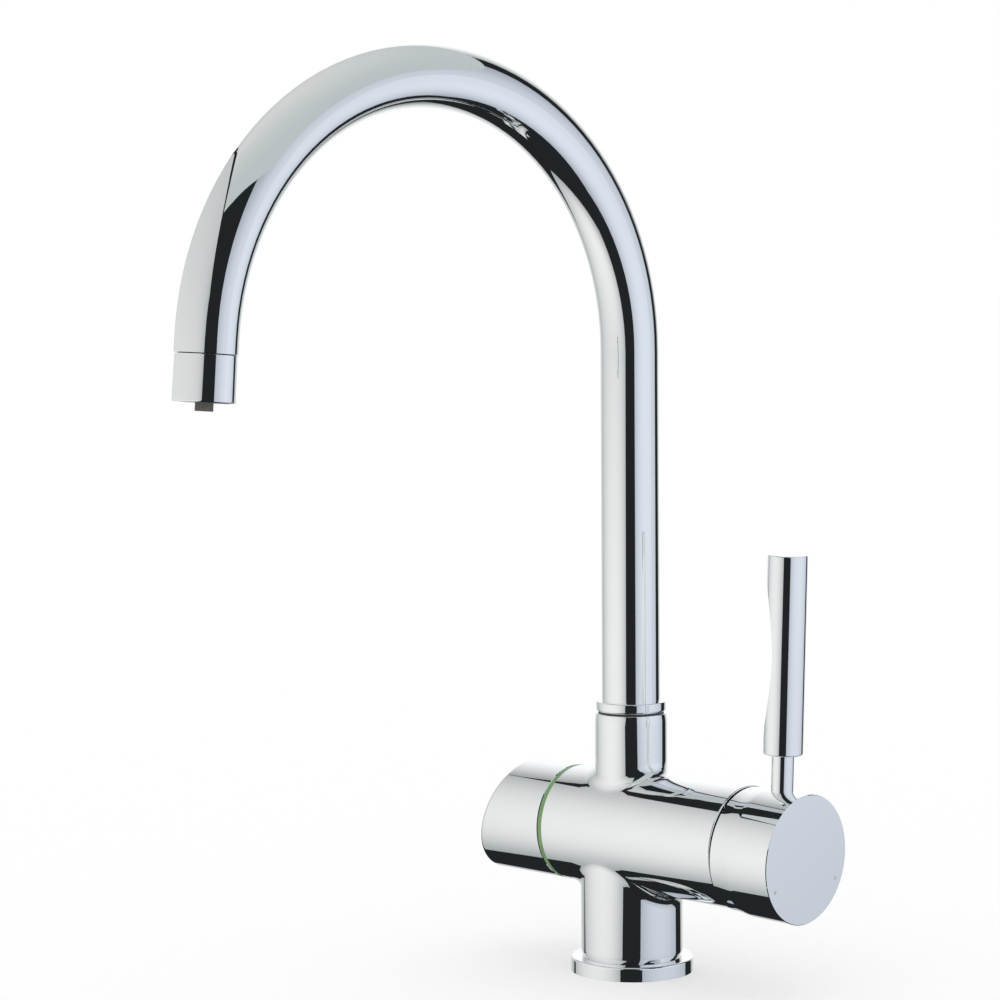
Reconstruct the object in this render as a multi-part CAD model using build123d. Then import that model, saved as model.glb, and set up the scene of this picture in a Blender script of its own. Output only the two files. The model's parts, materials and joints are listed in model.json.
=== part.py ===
from build123d import *
import os
from math import cos, radians, sin

# Three way kitchen tap: a cross-shaped body, a mixer lever on +X, a filtered
# water knob on -X and a swivelling swan-neck spout that leans over -Y.
# Millimetres, +Z up. The origin is the centre of the base, on the deck.

# ---- driving dimensions: body ----
FLANGE_R, FLANGE_H = 25.5, 5.9
FLANGE_EDGE = 0.9
SHELF_Z = 2.0               # the body stands on the flange's inner shelf
STEM_R, FOOT_INSET, FOOT_H = 21.1, 0.6, 3.0
BARREL_Z = 58.3
BARREL_KNOB_END, BARREL_LEVER_END = -28.9, 61.2
BARREL_KNOB_R, BARREL_LEVER_R = 24.0, 25.05
NECK_R, NECK_TOP = 15.0, 107.5
LIP_INSET, LIP_H = 0.45, 4.0
JUNCTION_FILLET = 6.0
NECK_EDGE = 0.3
BARREL_EDGE = 0.5
SEAL_OUT_R, SEAL_IN_R, SEAL_H = 23.3, 20.5, 1.4

# ---- driving dimensions: waterways ----
PORT_OFFSET = 8.1           # each inlet from the base centre, in X and in Y
HOSE_R, HOSE_DEPTH = 4.5, 11.0
STUD_R, STUD_DEPTH = 3.4, 13.0
BLOCK_R, BLOCK_TOP = 17.45, 16.0
CAVITY_R = 17.5
CHANNEL_R, MIXED_R = 3.0, 3.5
HOT_COLD_Z = 54.0
MIXED_Z = BARREL_Z + 9.0
FILTERED_OUT_Z = BARREL_Z - 9.0

# ---- driving dimensions: mixer cartridge, stations along +X ----
CHAMBER_R, CHAMBER_X = 17.6, 26.0
HOUSING_X, FIXED_DISC_X, MOVING_DISC_X = 28.0, 32.0, 35.5
DRIVER_X, DRIVER_END = 38.0, 41.5
CARRIER_X, CARRIER_STEP, CARRIER_END = 41.8, 45.8, 52.0
HOUSING_R, HOUSING_END = 17.4, 48.0
NUT_R, NUT_X, NUT_HEX_X, NUT_END = 20.0, 48.0, 54.0, 58.0
MOUTH_R, MOUTH_X = 21.5, 56.0
PIVOT_X, PIVOT_R = 46.5, 1.5
SLIDE_ARM = 5.6             # pivot to the ball that moves the disc
BALL_R = 2.2
STEM_SIDE, STEM_END = 8.0, 84.0
DOME_R, DOME_T, DOME_X = 20.0, 1.0, 58.1

# ---- driving dimensions: lever ----
LEVER_LEAN = 1.8            # outward tilt in the stored pose, degrees
CAP_R, CAP_FACE_X = 26.0, 90.3
CAP_RIM_X, CAP_RIM_R, CAP_RIM_BORE = 61.8, 25.15, 24.75
CAP_CROWN = 10.5            # length over which the rim swells to the full radius
CAP_BORE_R, CAP_FACE_T, CAP_EDGE = 23.5, 2.5, 0.25
BOSS_R, BOSS_X = 11.0, 67.0
LEVER_X = 77.5
LEVER_STEM_R, SPIGOT_R = 4.5, 2.95
GRIP_R, GRIP_BOTTOM, GRIP_TOP = 8.0, 40.7, 120.2
GRIP_LOWER_EDGE, GRIP_UPPER_EDGE = 0.7, 0.35
TENON_R, TENON_L = 3.5, 11.5
SCOOP_DEPTH, SCOOP_LOW, SCOOP_DEEP, SCOOP_HIGH = 4.45, 43.5, 79.0, 112.5
SCOOP_FACING = 22.0         # degrees from -X towards the front
GRUB_R = 2.45

# ---- driving dimensions: filtered water valve and knob, stations along -X ----
VALVE_BORE_R, VALVE_SEAT = 10.4, 15.5
WASHER_END, VALVE_DISC_X, VALVE_SLIDE_X, SPINDLE_X, FOOT_END = 16.8, 17.4, 19.6, 21.8, 24.0
VALVE_DISC_R, VALVE_DISC_T = 7.9, 2.2
VALVE_COLLAR_X, VALVE_HEX_X, VALVE_HEX_END, VALVE_END = 29.0, 30.0, 35.0, 44.0
GREEN_RING_T, GREEN_RING_R = 2.05, 23.95
RING_GROOVE_R, RING_TONGUE = 21.5, 2.0
KNOB_START, KNOB_END = 31.3, 63.9
KNOB_START_R, KNOB_END_R = 23.9, 23.6
KNOB_SLANT = 17.7           # the knob's end leans back at the top, degrees
KNOB_WALL, KNOB_EDGE = 2.0, 2.5
KNOB_HUB_R, KNOB_SCREW_X = 9.0, 51.0
SPINDLE_R, SPINDLE_BORE_R = 3.95, 4.0
SPLINE_TEETH, SPLINE_X, SPLINE_END, INSERT_END = 20, 47.2, 57.0, 59.0

# ---- driving dimensions: spout ----
SWIVEL_REST = -5.4          # stored swivel of the spout, degrees about +Z
SWIVEL_LIMIT = 110.0        # each way from straight forward
STOP_MARGIN = 15.0          # the stop groove is longer by half the screw's width
SOCKET_R, SOCKET_Z = 12.2, 62.0
NOZZLE_SOCKET_R, NOZZLE_SOCKET_Z = 4.6, 56.0
INSERT_R = 12.12
SCREW_Z = 92.0
TUBE_R, TUBE_BORE_R = 12.1, 11.0
TUBE_START, BEND_START = 109.0, 257.3
BEND_R, BEND_ARC, TIP_RUN = 107.0, 175.3, 5.7
COLLAR_R, COLLAR_Z, COLLAR_TOP = 14.5, 108.1, 112.4
COLLAR_UPPER_EDGE, COLLAR_LOWER_EDGE = 0.4, 1.2
HOSE_OUT_R, HOSE_IN_R, HOSE_START = 3.0, 2.0, 58.0
SEAM = 0.3
AERATOR_TOP_R, AERATOR_R, AERATOR_L = 11.75, 11.95, 17.9
AERATOR_BORE, AERATOR_LIP = 10.35, 9.4
TIP_R, TIP_L, TIP_FLUTES = 3.4, 21.0, 16


def turned(*corners):
    """Solid of revolution about Z from (radius, height) corners."""
    outline = Polyline(*[(r, 0, z) for r, z in corners], close=True)
    return revolve(make_face(outline), Axis.Z)


def ring(r_out, r_in, low, high):
    return turned((r_in, low), (r_out, low), (r_out, high), (r_in, high))


def disc(radius, low, high):
    return Pos(0, 0, low) * Cylinder(
        radius, high - low, align=(Align.CENTER, Align.CENTER, Align.MIN)
    )


def tapered(low_r, high_r, low, high):
    return turned((0, low), (low_r, low), (high_r, high), (0, high))


def rod(start, end, radius):
    """Round bar from one point to another, also used to drill holes."""
    a, b = Vector(*start), Vector(*end)
    return Plane(origin=a, z_dir=b - a).location * disc(radius, 0, (b - a).length)


def block(x, y, low, high):
    return Pos(0, 0, low) * Box(
        x, y, high - low, align=(Align.CENTER, Align.CENTER, Align.MIN)
    )


def hexagon(across_flats, low, high):
    outline = RegularPolygon(across_flats / 2, 6, major_radius=False)
    return Pos(0, 0, low) * extrude(outline, high - low)


def turns(count, part, offset=0.0):
    """Copies of a part, evenly spaced about Z."""
    return [Rot(0, 0, offset + step * 360 / count) * part for step in range(count)]


def lever_side(part):
    """Local +Z becomes +X on the barrel axis, local +X becomes -Z."""
    return Pos(0, 0, BARREL_Z) * Rot(0, 90, 0) * part


def knob_side(part):
    """Local +Z becomes -X on the barrel axis, local +X becomes +Z."""
    return Pos(0, 0, BARREL_Z) * Rot(0, -90, 0) * part


def leaning(part):
    """The stored lean of the lever about the cartridge pivot."""
    pivot = Pos(PIVOT_X, 0, BARREL_Z)
    return pivot * Rot(0, LEVER_LEAN, 0) * pivot.inverse() * part


def on_lever(part):
    """Local Z is the lever's own axis, from the centre of the barrel."""
    return leaning(Pos(LEVER_X, 0, BARREL_Z) * part)


def swivelled(part):
    return Rot(0, 0, SWIVEL_REST) * part


# ---- body ----
def upright():
    """Stem and neck in one turning, each drawn in softly at its open end."""
    foot_r, lip_r = STEM_R - FOOT_INSET, NECK_R - LIP_INSET
    with BuildSketch(Plane.XZ) as section:
        with BuildLine():
            base = Polyline((0, SHELF_Z), (foot_r, SHELF_Z), (foot_r, FLANGE_H))
            foot = TangentArc((STEM_R, FLANGE_H + FOOT_H), base @ 1, tangent=(0, -1))
            middle = Polyline(foot @ 0, (STEM_R, BARREL_Z), (NECK_R, BARREL_Z), (NECK_R, NECK_TOP - LIP_H))
            lip = TangentArc(middle @ 1, (lip_r, NECK_TOP), tangent=(0, 1))
            Polyline(lip @ 1, (0, NECK_TOP), base @ 0)
        make_face()
    return revolve(section.sketch, Axis.Z)


def drilled(part):
    """Hot, cold, mixed and filtered waterways, and the tapped hole of the spout's locking screw."""
    p = PORT_OFFSET
    for side in (p, -p):
        part -= rod((p, side, BLOCK_TOP - 1), (p, side, HOT_COLD_Z + CHANNEL_R), CHANNEL_R)
        part -= rod((p, side, HOT_COLD_Z), (CHAMBER_X + 1, side, HOT_COLD_Z), CHANNEL_R)
    part -= rod((SOCKET_R - 2, 0, MIXED_Z), (CHAMBER_X + 1, 0, MIXED_Z), MIXED_R)
    part -= rod((-p, -p, BLOCK_TOP - 1), (-p, -p, BARREL_Z), CHANNEL_R)
    part -= rod((-p, -p, BARREL_Z - 1), (-VALVE_SEAT - 1, -4.0, BARREL_Z), 2.5)
    part -= rod((-VALVE_SEAT - 2, 0, FILTERED_OUT_Z), (1, 0, FILTERED_OUT_Z), 1.8)
    part -= rod((0, 0, FILTERED_OUT_Z), (0, 0, NOZZLE_SOCKET_Z + 1), HOSE_IN_R)
    return part - rod((0, NECK_R + 1, SCREW_Z), (0, SOCKET_R - 1, SCREW_Z), GRUB_R + 0.05)


def body_casting():
    barrel = tapered(BARREL_LEVER_R, BARREL_KNOB_R, -BARREL_LEVER_END, -BARREL_KNOB_END)
    barrel = fillet(barrel.edges().filter_by(GeomType.CIRCLE).sort_by(Axis.Z)[0], BARREL_EDGE)
    outer = upright() + knob_side(barrel)
    junctions = outer.edges().filter_by(GeomType.BSPLINE)
    outer = fillet(junctions, JUNCTION_FILLET)
    neck_rim = outer.edges().filter_by(GeomType.CIRCLE).sort_by(Axis.Z)[-1]
    outer = fillet(neck_rim, NECK_EDGE)

    chamber = (
        disc(CHAMBER_R, CHAMBER_X, BARREL_LEVER_END)
        + disc(NUT_R, NUT_X, BARREL_LEVER_END)
        + disc(MOUTH_R, MOUTH_X, BARREL_LEVER_END + 1)
    )
    knob_end = -BARREL_KNOB_END
    valve_bore = disc(VALVE_BORE_R, VALVE_SEAT, knob_end + 1)
    ring_groove = ring(RING_GROOVE_R, RING_GROOVE_R - 1.5, knob_end - RING_TONGUE, knob_end + 1)
    outer -= lever_side(chamber)
    outer -= knob_side(valve_bore + ring_groove)
    outer -= disc(SOCKET_R, SOCKET_Z, NECK_TOP + 1)
    outer -= disc(NOZZLE_SOCKET_R, NOZZLE_SOCKET_Z, SOCKET_Z)
    outer -= disc(CAVITY_R, SHELF_Z - 1, BLOCK_TOP)
    return drilled(outer)


def base_flange():
    bore_r, shelf_r = STEM_R - FOOT_INSET + 0.05, CAVITY_R + 0.1
    flange = turned(
        (shelf_r, 0), (FLANGE_R, 0), (FLANGE_R, FLANGE_H), (bore_r, FLANGE_H),
        (bore_r, SHELF_Z), (shelf_r, SHELF_Z),
    )
    rims = flange.edges().filter_by(GeomType.CIRCLE).group_by(Axis.Z)[-1]
    flange = fillet(rims.sort_by(SortBy.RADIUS)[-1], FLANGE_EDGE)
    return flange - ring(SEAL_OUT_R + 0.1, SEAL_IN_R - 0.1, -1, SEAL_H)


def base_seal():
    return ring(SEAL_OUT_R, SEAL_IN_R, 0, SEAL_H)


def inlet_block():
    p = PORT_OFFSET
    part = disc(BLOCK_R, 0, BLOCK_TOP - 0.1)
    part = chamfer(part.edges().sort_by(Axis.Z)[0], 0.6)
    for x, y in ((p, p), (p, -p), (-p, -p)):
        part -= Pos(x, y, 0) * (disc(HOSE_R, -1, HOSE_DEPTH) + disc(CHANNEL_R, 0, BLOCK_TOP))
    return part - Pos(-p, p, 0) * disc(STUD_R, -1, STUD_DEPTH)


# ---- mixer cartridge ----
def ported(part, hot_cold_r, mixed_r, low, high):
    """Cut the hot, cold and mixed ports through a part lying along +X."""
    across = BARREL_Z - HOT_COLD_Z
    for side in (PORT_OFFSET, -PORT_OFFSET):
        part -= Pos(across, side, 0) * disc(hot_cold_r, low - 1, high + 1)
    return part - Pos(BARREL_Z - MIXED_Z, 0, 0) * disc(mixed_r, low - 1, high + 1)


def slid(part):
    """The moving disc's stored place: the lever's lean has slid it across the fixed disc."""
    return lever_side(Pos(-SLIDE_ARM * sin(radians(LEVER_LEAN)), 0, 0) * part)


def cartridge_port_seal():
    seal = disc(15.5, CHAMBER_X, HOUSING_X)
    return lever_side(ported(seal, CHANNEL_R + 0.2, MIXED_R + 0.2, CHAMBER_X, HOUSING_X))


def cartridge_housing():
    wall_r, lip_r, lip = 15.2, 12.7, 2.0
    floor = disc(HOUSING_R, HOUSING_X, FIXED_DISC_X)
    shell = ported(floor, CHANNEL_R, MIXED_R, HOUSING_X, FIXED_DISC_X)
    shell += ring(HOUSING_R, wall_r, FIXED_DISC_X, HOUSING_END)
    return lever_side(shell + ring(wall_r, lip_r, HOUSING_END - lip, HOUSING_END))


def fixed_ceramic_disc():
    plate = disc(15.1, FIXED_DISC_X, MOVING_DISC_X)
    return lever_side(ported(plate, 2.8, 3.3, FIXED_DISC_X, MOVING_DISC_X))


def moving_ceramic_disc():
    pocket = disc(7.6, MOVING_DISC_X - 1, MOVING_DISC_X + 1.1)
    return slid(disc(11.4, MOVING_DISC_X, DRIVER_X) - pocket)


def disc_driver():
    plate = disc(11.0, DRIVER_X, DRIVER_END) & block(30, 17.8, DRIVER_X, DRIVER_END)
    return slid(plate - disc(BALL_R + 0.2, DRIVER_X + 0.3, DRIVER_END + 1))


def turning_carrier():
    part = disc(15.0, CARRIER_X, CARRIER_STEP) + disc(12.4, CARRIER_STEP, CARRIER_END)
    for side in (1, -1):
        part += Pos(0, side * 10.6, 0) * block(8, 2.8, DRIVER_X + 0.3, CARRIER_X)
    part -= block(14.0, STEM_SIDE + 0.4, CARRIER_X - 1, CARRIER_END + 1)
    part -= Pos(0, -13, PIVOT_X) * Rot(-90, 0, 0) * disc(PIVOT_R, 0, 26)
    return lever_side(part)


def pivot_pin():
    return rod((PIVOT_X, -12.0, BARREL_Z), (PIVOT_X, 12.0, BARREL_Z), PIVOT_R - 0.03)


def cartridge_nut():
    nut = disc(NUT_R - 0.1, NUT_X, NUT_HEX_X) + hexagon(31.0, NUT_HEX_X, NUT_END)
    return lever_side(nut - disc(13.0, NUT_X - 1, NUT_END + 1))


def cartridge_dome():
    """Spherical cover, centred on the pivot, with an opening for the stem."""
    shell = Pos(0, 0, PIVOT_X) * (Sphere(DOME_R) - Sphere(DOME_R - DOME_T))
    shell &= disc(30, DOME_X, 61.8)
    return lever_side(shell + ring(16.2, 13.2, DOME_X, DOME_X + 0.7))


def cartridge_stem():
    stem = block(STEM_SIDE, STEM_SIDE, PIVOT_X - 3.0, STEM_END)
    stem = chamfer(stem.faces().sort_by(Axis.Z)[-1].edges(), 0.6)
    stem += disc(1.5, PIVOT_X - SLIDE_ARM, PIVOT_X)
    stem += Pos(0, 0, PIVOT_X - SLIDE_ARM) * Sphere(BALL_R)
    stem -= Pos(0, -5, PIVOT_X) * Rot(-90, 0, 0) * disc(PIVOT_R + 0.02, 0, 10)
    return leaning(lever_side(stem))


# ---- lever ----
def cap_shell():
    """Turned cap whose side starts flush with the barrel and swells to its flat face."""
    rim, crown_end, inner_face = CAP_RIM_X, CAP_RIM_X + CAP_CROWN, CAP_FACE_X - CAP_FACE_T
    halfway = ((CAP_RIM_R + CAP_R) / 2, rim + 0.6 * CAP_CROWN)
    with BuildSketch(Plane.XZ) as section:
        with BuildLine():
            crown = Spline((CAP_RIM_R, rim), halfway, (CAP_R, crown_end), tangents=((0, 1), (0, 1)))
            Polyline(
                crown @ 1, (CAP_R, CAP_FACE_X - CAP_EDGE), (CAP_R - CAP_EDGE, CAP_FACE_X),
                (0, CAP_FACE_X), (0, inner_face), (CAP_BORE_R - 2, inner_face),
                (CAP_BORE_R, inner_face - 2), (CAP_BORE_R, rim + 5), (CAP_RIM_BORE, rim), crown @ 0,
            )
        make_face()
    return revolve(section.sketch, Axis.Z)


def lever_cap():
    socket = STEM_SIDE + 0.1
    cap = cap_shell() + disc(BOSS_R, BOSS_X, CAP_FACE_X - 1)
    cap = lever_side(cap - block(socket, socket, BOSS_X - 1, STEM_END + 0.2))
    stem_hole = disc(LEVER_STEM_R + 0.03, BOSS_R + 0.2, 30) + disc(SPIGOT_R + 0.05, 0, BOSS_R + 1)
    screw_hole = disc(GRUB_R + 0.05, -BOSS_R - 1, 0) + disc(SPIGOT_R + 0.05, -30, -BOSS_R - 2)
    return leaning(cap - Pos(LEVER_X, 0, BARREL_Z) * (stem_hole + screw_hole))


def lever_stem():
    tenon_end = GRIP_BOTTOM + TENON_L
    return on_lever(turned(
        (0, 4.8), (SPIGOT_R, 4.8), (SPIGOT_R, BOSS_R + 0.2), (LEVER_STEM_R, BOSS_R + 0.2),
        (LEVER_STEM_R, GRIP_BOTTOM), (TENON_R, GRIP_BOTTOM), (TENON_R, tenon_end), (0, tenon_end),
    ))


def lever_grip():
    grip = disc(GRIP_R, GRIP_BOTTOM, GRIP_TOP)
    grip = fillet(grip.edges().filter_by(GeomType.CIRCLE).sort_by(Axis.Z)[0], GRIP_LOWER_EDGE)
    grip = fillet(grip.edges().filter_by(GeomType.CIRCLE).sort_by(Axis.Z)[-1], GRIP_UPPER_EDGE)
    side, clear = -GRIP_R, -GRIP_R - 5
    with BuildSketch(Plane.XZ) as outline:
        with BuildLine():
            curve = Spline(
                (side, SCOOP_LOW), (side + SCOOP_DEPTH, SCOOP_DEEP), (side, SCOOP_HIGH),
                tangents=((0.14, 1), (-0.20, 1)),
            )
            Polyline(curve @ 1, (clear, SCOOP_HIGH), (clear, SCOOP_LOW), curve @ 0)
        make_face()
    grip -= Rot(0, 0, SCOOP_FACING) * extrude(outline.sketch, 2 * GRIP_R, both=True)
    return on_lever(grip - disc(TENON_R + 0.05, GRIP_BOTTOM - 1, GRIP_BOTTOM + TENON_L + 0.5))


def lever_grub_screw():
    screw = disc(GRUB_R, 4.1, 10.6) - hexagon(2.5, 8.1, 11)
    return on_lever(Rot(180, 0, 0) * screw)


def lever_screw_plug():
    return on_lever(Rot(180, 0, 0) * disc(SPIGOT_R, CAP_BORE_R + 0.1, CAP_R - 0.35))


# ---- filtered water valve and knob ----
def green_ring():
    start = -BARREL_KNOB_END
    band = ring(GREEN_RING_R, 14.5, start, start + GREEN_RING_T)
    tongue = ring(RING_GROOVE_R - 0.05, RING_GROOVE_R - 1.45, start - RING_TONGUE + 0.1, start)
    return knob_side(band + tongue)


def filter_seat_washer():
    return knob_side(ring(8.6, 6.6, VALVE_SEAT, WASHER_END))


def filter_valve_housing():
    wall_r, neck_r = 9.2, 7.5
    body = turned(
        (6.6, WASHER_END), (wall_r, WASHER_END), (wall_r, FOOT_END), (VALVE_BORE_R - 0.05, FOOT_END),
        (VALVE_BORE_R - 0.05, VALVE_COLLAR_X), (13.6, VALVE_COLLAR_X), (13.6, VALVE_HEX_X),
        (neck_r, VALVE_HEX_X), (neck_r, VALVE_END), (SPINDLE_BORE_R, VALVE_END),
        (SPINDLE_BORE_R, FOOT_END + 0.2), (VALVE_DISC_R + 0.1, FOOT_END + 0.2),
        (VALVE_DISC_R + 0.1, VALVE_DISC_X), (6.6, VALVE_DISC_X),
    )
    body += hexagon(22.0, VALVE_HEX_X, VALVE_HEX_END) - disc(7.4, VALVE_HEX_X - 1, VALVE_HEX_END + 1)
    body -= turns(4, rod((0, 6, 22.2), (0, 11, 22.2), 1.6), 45)
    return knob_side(body)


def filter_fixed_disc():
    plate = disc(VALVE_DISC_R, VALVE_DISC_X, VALVE_DISC_X + VALVE_DISC_T)
    return knob_side(plate - turns(2, Pos(0, 4.4, 0) * disc(2.2, VALVE_DISC_X - 1, VALVE_SLIDE_X + 1)))


def filter_moving_disc():
    plate = disc(VALVE_DISC_R, VALVE_SLIDE_X, VALVE_SLIDE_X + VALVE_DISC_T)
    return knob_side(plate - turns(2, Pos(5.2, 0, 0) * disc(3.0, VALVE_SLIDE_X - 1, SPINDLE_X + 1)))


def filter_spindle():
    foot = disc(7.6, SPINDLE_X, FOOT_END)
    foot -= turns(2, Pos(8.2, 0, 0) * disc(5.0, SPINDLE_X - 1, FOOT_END + 1))
    shaft = disc(SPINDLE_R, FOOT_END, SPLINE_X - 0.2)
    shaft -= ring(5, 2.95, 29.0, 30.4) + ring(5, 3.05, 44.1, 45.0)
    spline = disc(3.5, SPLINE_X - 0.2, SPLINE_END)
    spline += turns(SPLINE_TEETH, Pos(3.6, 0, 0) * block(0.6, 0.5, SPLINE_X - 0.2, SPLINE_END))
    return knob_side(foot + shaft + spline)


def spindle_o_ring():
    return knob_side(ring(3.98, 2.97, 29.05, 30.35))


def spindle_clip():
    clip = ring(5.6, 3.1, 44.15, 44.95) - Pos(0, 5, 0) * block(4.0, 10, 43, 46)
    return knob_side(clip)


def spline_insert():
    sleeve = ring(6.5, 4.15, SPLINE_X, INSERT_END)
    tooth = Pos(3.95, 0, 0) * block(0.5, 0.4, SPLINE_X, SPLINE_END)
    return knob_side(sleeve + turns(SPLINE_TEETH, tooth, 180 / SPLINE_TEETH))


def slant_cut(solid, depth):
    """Cut a solid off along the knob's slanted end, a given depth inside it."""
    across, outward = cos(radians(KNOB_SLANT)), sin(radians(KNOB_SLANT))
    face = Plane(origin=(0, 0, KNOB_END), x_dir=(across, 0, -outward), z_dir=(outward, 0, across))
    return solid - face.location * block(150, 150, -depth, 60)


def filter_knob():
    far = 80.0
    reach = (far - KNOB_START) / (KNOB_END - KNOB_START)
    far_r = KNOB_START_R + (KNOB_END_R - KNOB_START_R) * reach
    inner = KNOB_START_R - KNOB_WALL
    shape = slant_cut(tapered(KNOB_START_R, far_r, KNOB_START, far), 0.0)
    shape = fillet(shape.faces().sort_by(Axis.Z)[-1].edges(), KNOB_EDGE)
    shape = chamfer(shape.edges().filter_by(GeomType.CIRCLE).sort_by(Axis.Z)[0], 0.25)
    hollow = slant_cut(disc(inner, KNOB_START - 1, far), KNOB_WALL + 0.4)
    web = Pos((KNOB_HUB_R + inner) / 2, 0, 0) * block(inner - KNOB_HUB_R + 1.6, 1.6, 50, far)
    inside = ring(KNOB_HUB_R, 6.55, SPLINE_X, far) + turns(4, web, 45)
    cup = shape - hollow + (inside & slant_cut(disc(inner + 0.5, KNOB_START, far), KNOB_WALL))
    return knob_side(cup - rod((-30, 0, KNOB_SCREW_X), (-6, 0, KNOB_SCREW_X), 1.7))


def knob_grub_screw():
    screw = disc(1.65, 6.6, 10.6) - hexagon(2.0, 8.6, 11)
    return knob_side(Pos(0, 0, KNOB_SCREW_X) * Rot(0, -90, 0) * screw)


# ---- spout, drawn reaching towards -Y ----
def on_bend(degrees):
    """Point of the centre line, an angle round the bend."""
    a = radians(degrees)
    return Vector(0, -BEND_R * (1 - cos(a)), BEND_START + BEND_R * sin(a))


def tip_direction():
    a = radians(BEND_ARC)
    return Vector(0, -sin(a), cos(a))


def spout_line(start, past_end=0.0):
    """Centre line of the spout, from a height on the upright to its tip."""
    rise = Line((0, 0, start), (0, 0, BEND_START))
    bend = ThreePointArc(rise @ 1, on_bend(BEND_ARC / 2), on_bend(BEND_ARC))
    return rise + bend + Line(bend @ 1, bend @ 1 + tip_direction() * (TIP_RUN + past_end))


def at_tip(part):
    """Local +Z runs out of the spout, from the tube's end."""
    end = on_bend(BEND_ARC) + tip_direction() * TIP_RUN
    frame = Plane(origin=end, x_dir=(1, 0, 0), z_dir=tip_direction())
    return swivelled(frame.location * part)


def spout_tube():
    section = Pos(0, 0, TUBE_START) * (Circle(TUBE_R) - Circle(TUBE_BORE_R))
    return swivelled(sweep(section, spout_line(TUBE_START)))


def filtered_water_tube():
    section = Pos(0, 0, HOSE_START) * (Circle(HOSE_OUT_R) - Circle(HOSE_IN_R))
    return swivelled(sweep(section, spout_line(HOSE_START, past_end=9.0)))


def spout_insert():
    top = NECK_TOP - 0.1
    body = turned(
        (3.03, 57.0), (4.5, 57.0), (4.5, 62.4), (9.8, 62.4), (9.8, 74.0), (INSERT_R, 74.0),
        (INSERT_R, top), (10.9, top), (10.9, 120.0), (8.0, 120.0), (8.0, 66.0), (3.03, 66.0),
    )
    for low, high in ((77.0, 79.4), (83.0, 85.4)):
        body -= ring(13, 10.4, low, high)
    body -= ring(13, 10.8, 98.0, 104.0)
    first = 90 - SWIVEL_LIMIT - STOP_MARGIN + SWIVEL_REST
    stop_groove = Polyline((10.2, 0, 89.2), (13, 0, 89.2), (13, 0, 94.8), (10.2, 0, 94.8), close=True)
    sector = revolve(make_face(stop_groove), Axis.Z, 2 * (SWIVEL_LIMIT + STOP_MARGIN))
    body -= Rot(0, 0, first) * sector
    return body - turns(4, rod((5, 0, 69.5), (11, 0, 69.5), 2.4), 45)


def neck_o_ring(low):
    return ring(INSERT_R + 0.05, 10.45, low + 0.1, low + 2.3)


def spout_bush():
    return ring(INSERT_R + 0.03, 10.85, 98.1, 103.9) - Pos(0, 11.5, 0) * block(0.8, 6, 97, 105)


def spout_thrust_washer():
    return ring(13.6, 12.3, NECK_TOP, COLLAR_Z)


def spout_collar():
    collar = turned(
        (10.95, COLLAR_Z), (COLLAR_R, COLLAR_Z), (COLLAR_R, COLLAR_TOP), (TUBE_R + 0.02, COLLAR_TOP),
        (TUBE_R + 0.02, TUBE_START), (10.95, TUBE_START),
    )
    for end, edge in ((-1, COLLAR_UPPER_EDGE), (0, COLLAR_LOWER_EDGE)):
        rims = collar.edges().filter_by(GeomType.CIRCLE).group_by(Axis.Z)[end]
        collar = fillet(rims.sort_by(SortBy.RADIUS)[-1], edge)
    return collar


def spout_locking_screw():
    screw = disc(GRUB_R, 10.5, 14.4) - hexagon(2.5, 12.4, 15)
    return Pos(0, 0, SCREW_Z) * Rot(-90, 0, 0) * screw


def outlet_bush():
    return at_tip(ring(10.85, 8.6, -4.0, 0.0) + ring(10.3, 8.6, 0.0, 6.0))


def aerator_housing():
    lip = AERATOR_L - 1.0
    shell = turned(
        (AERATOR_BORE, SEAM), (AERATOR_TOP_R, SEAM), (AERATOR_R, AERATOR_L), (AERATOR_LIP, AERATOR_L),
        (AERATOR_LIP, lip), (AERATOR_BORE, lip),
    )
    for end, edge in ((0, 0.25), (-1, 0.8)):
        rims = shell.edges().filter_by(GeomType.CIRCLE).group_by(Axis.Z)[end]
        shell = fillet(rims.sort_by(SortBy.RADIUS)[-1], edge)
    return at_tip(shell)


def aerator_washer():
    return at_tip(ring(10.25, 8.4, 6.0, 7.8))


def aerator_insert():
    rim_end, hub_end, comb = 16.7, 16.0, 13.8
    body = ring(10.25, 8.8, 7.8, rim_end) + ring(4.4, 3.45, 9.0, hub_end)
    for radius in (5.8, 7.3):
        body += ring(radius + 0.2, radius - 0.2, comb, hub_end)
    spoke = Pos(6.45, 0, 0) * block(5.1, 0.5, 9.0, hub_end)
    return at_tip(body + turns(8, spoke))


def filtered_nozzle():
    """Fluted rubber-like tip on the end of the inner tube."""
    tip = turned((1.3, 3.0), (1.95, 3.0), (1.95, 9.0), (TIP_R, 9.0), (TIP_R, TIP_L), (1.3, TIP_L))
    flute = Pos(TIP_R + 0.1, 0, 0) * disc(0.3, AERATOR_L - 1.0, TIP_L + 1)
    return at_tip(tip - turns(TIP_FLUTES, flute))


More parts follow.
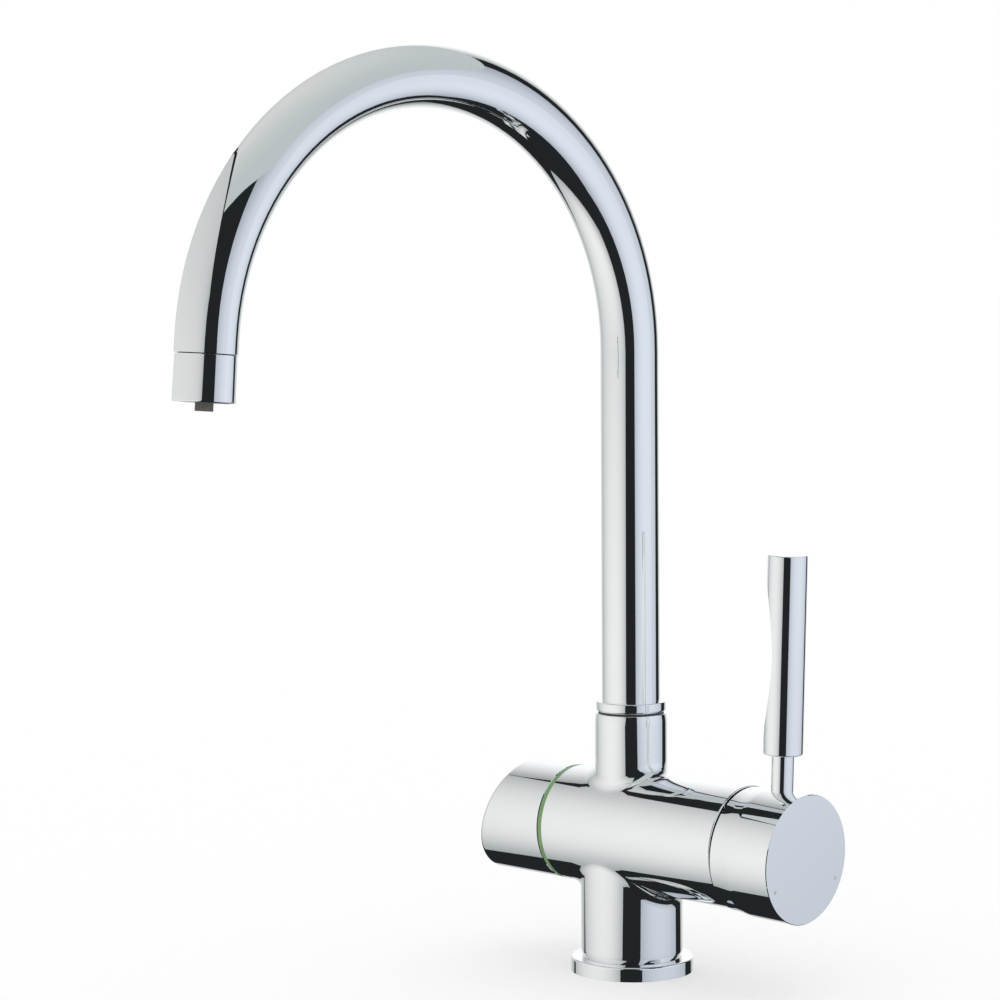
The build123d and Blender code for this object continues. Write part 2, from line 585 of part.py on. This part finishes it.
PARTS = {
    "body_casting": body_casting(),
    "base_flange": base_flange(),
    "base_seal": base_seal(),
    "inlet_block": inlet_block(),
    "cartridge_port_seal": cartridge_port_seal(),
    "cartridge_housing": cartridge_housing(),
    "fixed_ceramic_disc": fixed_ceramic_disc(),
    "moving_ceramic_disc": moving_ceramic_disc(),
    "disc_driver": disc_driver(),
    "turning_carrier": turning_carrier(),
    "pivot_pin": pivot_pin(),
    "cartridge_nut": cartridge_nut(),
    "cartridge_dome": cartridge_dome(),
    "cartridge_stem": cartridge_stem(),
    "lever_cap": lever_cap(),
    "lever_stem": lever_stem(),
    "lever_grip": lever_grip(),
    "lever_grub_screw": lever_grub_screw(),
    "lever_screw_plug": lever_screw_plug(),
    "green_ring": green_ring(),
    "filter_seat_washer": filter_seat_washer(),
    "filter_valve_housing": filter_valve_housing(),
    "filter_fixed_disc": filter_fixed_disc(),
    "filter_moving_disc": filter_moving_disc(),
    "filter_spindle": filter_spindle(),
    "spindle_o_ring": spindle_o_ring(),
    "spindle_clip": spindle_clip(),
    "spline_insert": spline_insert(),
    "filter_knob": filter_knob(),
    "knob_grub_screw": knob_grub_screw(),
    "spout_tube": spout_tube(),
    "filtered_water_tube": filtered_water_tube(),
    "spout_insert": spout_insert(),
    "lower_neck_o_ring": neck_o_ring(77.0),
    "upper_neck_o_ring": neck_o_ring(83.0),
    "spout_bush": spout_bush(),
    "spout_thrust_washer": spout_thrust_washer(),
    "spout_collar": spout_collar(),
    "spout_locking_screw": spout_locking_screw(),
    "outlet_bush": outlet_bush(),
    "aerator_housing": aerator_housing(),
    "aerator_washer": aerator_washer(),
    "aerator_insert": aerator_insert(),
    "filtered_nozzle": filtered_nozzle(),
}

os.makedirs("parts", exist_ok=True)
for name, part in PARTS.items():
    export_step(part, f"parts/{name}.step")
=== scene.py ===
import json
from math import ceil, cos, pi, radians, sin, sqrt

import bpy
from mathutils import Matrix, Vector


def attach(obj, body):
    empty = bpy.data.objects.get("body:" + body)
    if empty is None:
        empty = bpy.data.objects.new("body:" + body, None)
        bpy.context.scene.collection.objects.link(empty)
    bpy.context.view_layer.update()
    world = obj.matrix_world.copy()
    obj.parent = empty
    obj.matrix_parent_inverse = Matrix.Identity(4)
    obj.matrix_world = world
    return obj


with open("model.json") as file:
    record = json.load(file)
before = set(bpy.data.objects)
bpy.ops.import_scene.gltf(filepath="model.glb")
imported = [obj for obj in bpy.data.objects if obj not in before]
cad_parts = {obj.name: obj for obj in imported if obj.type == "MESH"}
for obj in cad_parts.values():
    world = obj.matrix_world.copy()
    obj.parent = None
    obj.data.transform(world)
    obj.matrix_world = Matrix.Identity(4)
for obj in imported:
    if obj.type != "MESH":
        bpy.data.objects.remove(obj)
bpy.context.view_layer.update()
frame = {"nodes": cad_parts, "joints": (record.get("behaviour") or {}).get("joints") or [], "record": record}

MM = 0.001
WHITE = (1.0, 1.0, 1.0, 1.0)

record = frame["record"]
mounts = {mount["name"]: mount for mount in record["mounts"]}
joints = {joint["name"]: joint for joint in frame["joints"]}

# ---- materials ----
NOISE_DETAIL = 3.0
NOISE_RANGE = (0.3, 0.7)    # most values of a noise texture lie between these


def new_material(name):
    material = bpy.data.materials.new(name)
    material.use_nodes = True
    tree = material.node_tree
    return material, tree, tree.nodes["Principled BSDF"]


def noise(tree, scale, stretch=(1, 1, 1)):
    """Object-space noise. Its scale counts spots to the metre; stretch squeezes them along an axis."""
    coords = tree.nodes.new("ShaderNodeTexCoord")
    mapping = tree.nodes.new("ShaderNodeMapping")
    mapping.inputs["Scale"].default_value = stretch
    tree.links.new(coords.outputs["Object"], mapping.inputs["Vector"])
    texture = tree.nodes.new("ShaderNodeTexNoise")
    texture.inputs["Scale"].default_value = scale
    texture.inputs["Detail"].default_value = NOISE_DETAIL
    tree.links.new(mapping.outputs["Vector"], texture.inputs["Vector"])
    return texture.outputs["Fac"]


def spread(tree, value, low=0.0, high=1.0):
    """The useful part of a noise value, mapped between two numbers."""
    ramp = tree.nodes.new("ShaderNodeMapRange")
    ramp.inputs["From Min"].default_value = NOISE_RANGE[0]
    ramp.inputs["From Max"].default_value = NOISE_RANGE[1]
    ramp.inputs["To Min"].default_value = low
    ramp.inputs["To Max"].default_value = high
    tree.links.new(value, ramp.inputs["Value"])
    return ramp.outputs["Result"]


def blended(tree, factor, first, second):
    """A colour between two others."""
    mix = tree.nodes.new("ShaderNodeMix")
    mix.data_type = "RGBA"
    mix.inputs["A"].default_value = (*first, 1.0)
    mix.inputs["B"].default_value = (*second, 1.0)
    tree.links.new(factor, mix.inputs["Factor"])
    return mix.outputs["Result"]


def bumped(tree, shader, height, depth):
    bump = tree.nodes.new("ShaderNodeBump")
    bump.inputs["Distance"].default_value = depth
    tree.links.new(height, bump.inputs["Height"])
    tree.links.new(bump.outputs["Normal"], shader.inputs["Normal"])


def chrome():
    """Bright plating, with the faint haze of handling in its polish."""
    haze_scale, gloss_scale = 35, 90
    dark, light = (0.885, 0.89, 0.895), (0.915, 0.92, 0.925)
    roughness = (0.012, 0.04)
    material, tree, shader = new_material("chrome")
    shader.inputs["Metallic"].default_value = 1.0
    haze = noise(tree, haze_scale)
    tree.links.new(blended(tree, haze, dark, light), shader.inputs["Base Color"])
    gloss = noise(tree, gloss_scale)
    tree.links.new(spread(tree, gloss, *roughness), shader.inputs["Roughness"])
    return material


def machined(name, dark, light, roughness, stretch):
    """Bare metal with fine tool marks, squeezed along the axis it was turned about."""
    cloud_scale, mark_scale, mark_depth = 60, 260, 0.02 * MM
    material, tree, shader = new_material(name)
    shader.inputs["Metallic"].default_value = 1.0
    cloud = spread(tree, noise(tree, cloud_scale))
    tree.links.new(blended(tree, cloud, dark, light), shader.inputs["Base Color"])
    marks = noise(tree, mark_scale, stretch)
    tree.links.new(spread(tree, marks, *roughness), shader.inputs["Roughness"])
    bumped(tree, shader, marks, mark_depth)
    return material


def moulded(name, dark, light, roughness, grain_scale, grain_depth):
    """Plastic, rubber or ceramic: slightly uneven colour and gloss over a fine grain."""
    cloud_scale = 120
    material, tree, shader = new_material(name)
    cloud = spread(tree, noise(tree, cloud_scale))
    tree.links.new(blended(tree, cloud, dark, light), shader.inputs["Base Color"])
    grain = noise(tree, grain_scale)
    tree.links.new(spread(tree, grain, *roughness), shader.inputs["Roughness"])
    bumped(tree, shader, grain, grain_depth)
    return material


MATERIALS = {
    "chrome": chrome(),
    "brass": machined("brass", (0.74, 0.55, 0.24), (0.84, 0.66, 0.34), (0.20, 0.36), (1, 1, 9)),
    "steel": machined("steel", (0.55, 0.55, 0.56), (0.64, 0.64, 0.65), (0.22, 0.40), (9, 1, 1)),
}
for slot, dark, light, roughness, grain_scale, grain_depth in (
    ("rubber", (0.012, 0.012, 0.012), (0.03, 0.03, 0.03), (0.65, 0.85), 900, 0.03 * MM),
    ("ceramic", (0.80, 0.79, 0.75), (0.86, 0.85, 0.82), (0.12, 0.24), 1500, 0.002 * MM),
    ("cartridge_plastic", (0.60, 0.61, 0.63), (0.68, 0.69, 0.71), (0.40, 0.55), 1400, 0.01 * MM),
    ("plug_plastic", (0.40, 0.41, 0.43), (0.46, 0.47, 0.49), (0.30, 0.42), 1400, 0.01 * MM),
    ("green_plastic", (0.14, 0.26, 0.105), (0.18, 0.32, 0.14), (0.28, 0.40), 1400, 0.008 * MM),
    ("hose_plastic", (0.70, 0.71, 0.73), (0.78, 0.79, 0.81), (0.36, 0.46), 1400, 0.008 * MM),
    ("bearing_plastic", (0.03, 0.03, 0.033), (0.05, 0.05, 0.055), (0.42, 0.58), 1400, 0.012 * MM),
    ("nozzle_plastic", (0.105, 0.10, 0.088), (0.145, 0.138, 0.122), (0.45, 0.60), 1100, 0.015 * MM),
):
    MATERIALS[slot] = moulded(slot, dark, light, roughness, grain_scale, grain_depth)

for part in record["subparts"]:
    node = frame["nodes"][part["node"]]
    node.data.materials.clear()
    node.data.materials.append(MATERIALS[part["material_slot"]])


# ---- small pieces the solids leave out ----
def piece(name, points, faces, material, body):
    mesh = bpy.data.meshes.new(name)
    mesh.from_pydata(points, [], faces)
    mesh.materials.append(MATERIALS[material])
    obj = bpy.data.objects.new(name, mesh)
    bpy.context.scene.collection.objects.link(obj)
    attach(obj, body)


# Threads of the three hose ports and of the stud's socket. The ridge's sizes are in pitches.
HOSE_PITCH = 1.0 * MM
STUD_PITCH = 1.25 * MM
THREAD_RUNOUT = 0.5 * MM    # left plain at the bottom of each hole
TURN_STEPS = 40
RIDGE_HEIGHT = 0.32
RIDGE_HALF_WIDTH = 0.42
RIDGE_START = 0.5


def thread(radius, depth, pitch):
    """Internal thread: a three-sided ridge that winds up a hole from z = 0."""
    crest = radius - RIDGE_HEIGHT * pitch
    section = ((radius, -RIDGE_HALF_WIDTH), (crest, 0.0), (radius, RIDGE_HALF_WIDTH))
    points, faces = [], []
    for step in range(ceil((depth / pitch - 1) * TURN_STEPS) + 1):
        angle = 2 * pi * step / TURN_STEPS
        level = (RIDGE_START + step / TURN_STEPS) * pitch
        for reach, offset in section:
            points.append(Vector((reach * cos(angle), reach * sin(angle), level + offset * pitch)))
        if step:
            new = 3 * step
            old = new - 3
            faces += [(old, new, new + 1, old + 1), (old + 1, new + 1, new + 2, old + 2)]
    return points, faces


def inlet_threads():
    for name, mount_name, pitch in (
        ("hot_thread", "hot_inlet", HOSE_PITCH),
        ("cold_thread", "cold_inlet", HOSE_PITCH),
        ("filtered_thread", "filtered_inlet", HOSE_PITCH),
        ("stud_thread", "stud_socket", STUD_PITCH),
    ):
        mount = mounts[mount_name]
        centre = Vector(mount["pos_m"])
        radius = mount["dims"]["r_mm"] * MM
        depth = mount["dims"]["length_mm"] * MM - THREAD_RUNOUT
        points, faces = thread(radius, depth, pitch)
        piece(name, [point + centre for point in points], faces, "brass", "body")


# The aerator's wire mesh: a disc with a hole for the nozzle, set inside the aerator's mouth. The spout
# swivels as far one way as the other from straight forward, so its range tells where it stands.
SWIVEL = -radians(sum(joints["spout_swivel"]["range_deg"]) / 2)
BEND_START = 257.3 * MM     # height above the deck
BEND_RADIUS = 107.0 * MM
BEND_ARC = radians(175.3)
TIP_RUN = 5.7 * MM          # straight tube after the bend
MESH_BEYOND_TUBE = 16.1 * MM
MESH_OUTER_RADIUS = 8.75 * MM
MESH_INNER_RADIUS = 4.45 * MM
MESH_GAP = 0.9 * MM
WIRE = 0.07 * MM            # half the wire's width


def spout_end():
    """Place of the tube's end, with z running out of it."""
    forward = BEND_RADIUS * (1 - cos(BEND_ARC)) + TIP_RUN * sin(BEND_ARC)
    height = BEND_START + BEND_RADIUS * sin(BEND_ARC) + TIP_RUN * cos(BEND_ARC)
    bent = Matrix.Translation((0, -forward, height)) @ Matrix.Rotation(BEND_ARC, 4, "X")
    return Matrix.Rotation(SWIVEL, 4, "Z") @ bent


def wire(start, end):
    """Corners and faces of one square wire, to be added to a larger mesh."""
    along = (Vector(end) - Vector(start)).normalized()
    side = along.cross(Vector((0, 0, 1))) * WIRE
    rise = Vector((0, 0, WIRE))
    corners = [a * side + b * rise for a, b in ((-1, -1), (1, -1), (1, 1), (-1, 1))]
    points = [Vector(tip) + corner for tip in (start, end) for corner in corners]
    sides = [(k, k + 4, (k + 1) % 4 + 4, (k + 1) % 4) for k in range(4)]
    return points, [(0, 1, 2, 3), (7, 6, 5, 4), *sides]


def aerator_mesh():
    wires = []
    lines = int(MESH_OUTER_RADIUS / MESH_GAP)
    for line in range(-lines, lines + 1):
        offset = line * MESH_GAP
        far = sqrt(MESH_OUTER_RADIUS**2 - offset**2)
        near = sqrt(max(MESH_INNER_RADIUS**2 - offset**2, 0.0))
        for low, high in [(-far, -near), (near, far)] if near else [(-far, far)]:
            wires.append(wire((offset, low, 0), (offset, high, 0)))
            wires.append(wire((low, offset, WIRE), (high, offset, WIRE)))
    place = spout_end()
    beyond = Vector((0, 0, MESH_BEYOND_TUBE))
    points, faces = [], []
    for wire_points, wire_faces in wires:
        faces += [tuple(len(points) + corner for corner in face) for face in wire_faces]
        points += [place @ (point + beyond) for point in wire_points]
    piece("aerator_mesh", points, faces, "steel", "spout")


# Two plain dots near the edge of the cap's face, placed on the upright cap and then leaned out with the
# lever. Its range tells how far it leans, because it ends at the upright stop.
LEVER_LEAN = -radians(joints["lever_tilt"]["range_deg"][0])
CAP_FACE_X = 90.3 * MM
DOT_Y = 19.6 * MM
DOT_Z = 48.2 * MM
DOT_RADIUS = 0.8 * MM
DOT_PROUD = 0.02 * MM
DOT_SIDES = 24


def cap_dots():
    pivot = Vector(joints["lever_tilt"]["pos_m"])
    lean = Matrix.Rotation(LEVER_LEAN, 4, "Y")
    place = Matrix.Translation(pivot) @ lean @ Matrix.Translation(-pivot)
    angles = [2 * pi * side / DOT_SIDES for side in range(DOT_SIDES)]
    rim = [DOT_RADIUS * Vector((0, cos(angle), sin(angle))) for angle in angles]
    for name, hand in (("cap_dot_front", -1), ("cap_dot_back", 1)):
        centre = Vector((CAP_FACE_X + DOT_PROUD, hand * DOT_Y, DOT_Z))
        points = [place @ (centre + point) for point in rim]
        piece(name, points, [tuple(range(DOT_SIDES))], "plug_plastic", "lever")


inlet_threads()
aerator_mesh()
cap_dots()

# ---- camera ----
# Angles in radians, lens and sensor in millimetres. A separate fit to the photograph's edges gave these
# numbers; only the sensor's width was chosen.
CAMERA_AT = (0.80853, -0.95242, 0.28783)
CAMERA_YAW = 0.74676
CAMERA_PITCH = -0.07361
CAMERA_ROLL = -0.00728
LENS = 109.53
SENSOR = 36.0


def add_camera():
    data = bpy.data.cameras.new("camera")
    data.lens = LENS
    data.sensor_width = SENSOR
    camera = bpy.data.objects.new("camera", data)
    bpy.context.scene.collection.objects.link(camera)
    turn = Matrix.Rotation(CAMERA_YAW, 4, "Z") @ Matrix.Rotation(pi / 2 + CAMERA_PITCH, 4, "X")
    camera.matrix_world = Matrix.Translation(CAMERA_AT) @ turn @ Matrix.Rotation(CAMERA_ROLL, 4, "Z")
    bpy.context.scene.camera = camera


add_camera()

# ---- studio ----
# The studio's axes: x to the camera's right, y away from it, z up. Chrome shows its surroundings. The
# places, angles, sizes and colours of the four softboxes were not chosen by hand: they are the rounded
# results of separate fits to the reflections in the photograph, and hold for that one view.
STUDIO = Matrix.Rotation(CAMERA_YAW, 4, "Z")
CHROME_REFLECTANCE = 0.90


def card(name, centre, turn, size, material):
    """A flat rectangle that only reflections see. turn holds three angles in degrees: the bearing of
    its normal from the studio's -y axis towards +x, the normal's lift, and the card's own roll."""
    bearing, lift, roll = (radians(angle) for angle in turn)
    normal = Vector((sin(bearing) * cos(lift), -cos(bearing) * cos(lift), sin(lift)))
    level = Vector((cos(bearing), sin(bearing), 0.0))
    upward = normal.cross(level)
    if upward.z < 0:
        upward = -upward
    across = (level * cos(roll) + upward * sin(roll)) * size[0] / 2
    along = (upward * cos(roll) - level * sin(roll)) * size[1] / 2
    corners = [(-1, -1), (1, -1), (1, 1), (-1, 1)]
    points = [STUDIO @ (Vector(centre) + a * across + b * along) for a, b in corners]
    mesh = bpy.data.meshes.new(name)
    mesh.from_pydata(points, [], [(0, 1, 2, 3)])
    uv = mesh.uv_layers.new(name="card")
    for loop, corner in zip(uv.data, corners):
        loop.uv = corner
    mesh.materials.append(material)
    obj = bpy.data.objects.new(name, mesh)
    bpy.context.scene.collection.objects.link(obj)
    obj.visible_camera = False
    obj.visible_diffuse = False
    obj.visible_shadow = False
    obj.visible_transmission = False


def lit(colour):
    """A display colour, 0 to 255, as it reads in the chrome, to the card's own linear light, by the
    standard display curve."""
    shares = [value / 255 for value in colour]
    linear = [share / 12.92 if share <= 0.04045 else ((share + 0.055) / 1.055) ** 2.4 for share in shares]
    return [value / CHROME_REFLECTANCE for value in linear]


def shining(name):
    """Material of a card, and the colour socket to fill. Seen by way of the floor a card is as white as
    the world, so that the chrome throws no grey patches on the floor."""
    material = bpy.data.materials.new(name)
    material.use_nodes = True
    tree = material.node_tree
    tree.nodes.clear()
    path = tree.nodes.new("ShaderNodeLightPath")
    mix = tree.nodes.new("ShaderNodeMix")
    mix.data_type = "RGBA"
    mix.inputs["B"].default_value = WHITE
    tree.links.new(path.outputs["Diffuse Depth"], mix.inputs["Factor"])
    emission = tree.nodes.new("ShaderNodeEmission")
    tree.links.new(mix.outputs["Result"], emission.inputs["Color"])
    output = tree.nodes.new("ShaderNodeOutputMaterial")
    tree.links.new(emission.outputs["Emission"], output.inputs["Surface"])
    return material, mix.inputs["A"]


def softbox(name, edge, core, core_at, core_size):
    """Glows from an edge colour to a core colour. core_at and core_size are in halves of the card's
    width and height."""
    material, colour = shining(name)
    tree = material.node_tree
    coords = tree.nodes.new("ShaderNodeTexCoord")
    mapping = tree.nodes.new("ShaderNodeMapping")
    mapping.inputs["Location"].default_value = (-core_at[0] / core_size[0], -core_at[1] / core_size[1], 0)
    mapping.inputs["Scale"].default_value = (1 / core_size[0], 1 / core_size[1], 0)
    tree.links.new(coords.outputs["UV"], mapping.inputs["Vector"])
    square = tree.nodes.new("ShaderNodeVectorMath")
    square.operation = "DOT_PRODUCT"
    tree.links.new(mapping.outputs["Vector"], square.inputs[0])
    tree.links.new(mapping.outputs["Vector"], square.inputs[1])
    negate = tree.nodes.new("ShaderNodeMath")
    negate.operation = "MULTIPLY"
    negate.inputs[1].default_value = -1.0
    tree.links.new(square.outputs["Value"], negate.inputs[0])
    bell = tree.nodes.new("ShaderNodeMath")
    bell.operation = "EXPONENT"
    tree.links.new(negate.outputs["Value"], bell.inputs[0])
    tree.links.new(blended(tree, bell.outputs["Value"], lit(edge), lit(core)), colour)
    return material


def black_card(name, level):
    material, colour = shining(name)
    colour.default_value = (*lit(level), 1.0)
    return material


LEFT_TURN = (-83.9, 10.0, 0.1)
card(
    "left_softbox", (-0.292, -0.132, -0.010), LEFT_TURN, (0.922, 0.838),
    softbox("left_softbox", (156, 161, 161), (234, 236, 235), (-0.04, 0.18), (0.86, 0.87)),
)
card(
    "right_softbox", (0.282, -0.190, 0.410), (69.8, -1.2, 1.6), (0.739, 1.366),
    softbox("right_softbox", (154, 161, 171), (218, 225, 235), (0.05, -0.32), (1.05, 0.58)),
)
card(
    "ceiling_softbox", (0.413, -0.294, 0.510), (65.0, 98.4, -7.6), (0.280, 1.411),
    softbox("ceiling_softbox", (185, 192, 194), (208, 210, 208), (0.24, -0.91), (0.55, 0.17)),
)
card(
    "back_softbox", (0.295, 1.068, 0.464), (194.0, 9.2, 30.2), (2.499, 2.327),
    softbox("back_softbox", (20, 33, 33), (253, 256, 256), (0.01, -0.08), (0.96, 1.03)),
)

# A thin black frame along the left softbox's upper edge, and six black flags around everything.
BLACK = black_card("black_card", (33, 36, 38))
FLAG_SIZE = (4.0, 4.0)
FLAG_DISTANCE = 2.0
FLAG_MIDDLE = Vector((0, 0, 0.4))
card("left_frame", (-0.219, -0.124, 0.406), LEFT_TURN, (0.930, 0.007), BLACK)
for name, side, turn in (
    ("front_flag", (0, -1, 0), (180, 0, 0)),
    ("right_flag", (1, 0, 0), (90, 0, 0)),
    ("left_flag", (-1, 0, 0), (90, 0, 0)),
    ("back_flag", (0, 1, 0), (0, 0, 0)),
    ("top_flag", (0, 0, 1), (0, 90, 0)),
    ("under_flag", (0, 0, -1), (0, 90, 0)),
):
    card(name, FLAG_MIDDLE + FLAG_DISTANCE * Vector(side), turn, FLAG_SIZE, BLACK)

FLOOR_SIZE = 60.0


def add_floor():
    """White and matt, and no reflection shows it."""
    bpy.ops.mesh.primitive_plane_add(size=FLOOR_SIZE, location=(0, 0, 0))
    floor = bpy.context.object
    floor.name = "floor"
    material, _, shader = new_material("floor")
    shader.inputs["Base Color"].default_value = WHITE
    shader.inputs["Roughness"].default_value = 1.0
    shader.inputs["Specular IOR Level"].default_value = 0.0
    floor.data.materials.append(material)
    floor.visible_glossy = False


def add_world():
    world = bpy.data.worlds.new("world")
    bpy.context.scene.world = world
    world.use_nodes = True
    background = world.node_tree.nodes["Background"]
    background.inputs["Color"].default_value = WHITE
    background.inputs["Strength"].default_value = 1.0


add_floor()
add_world()
bpy.context.scene.view_settings.view_transform = "Standard"
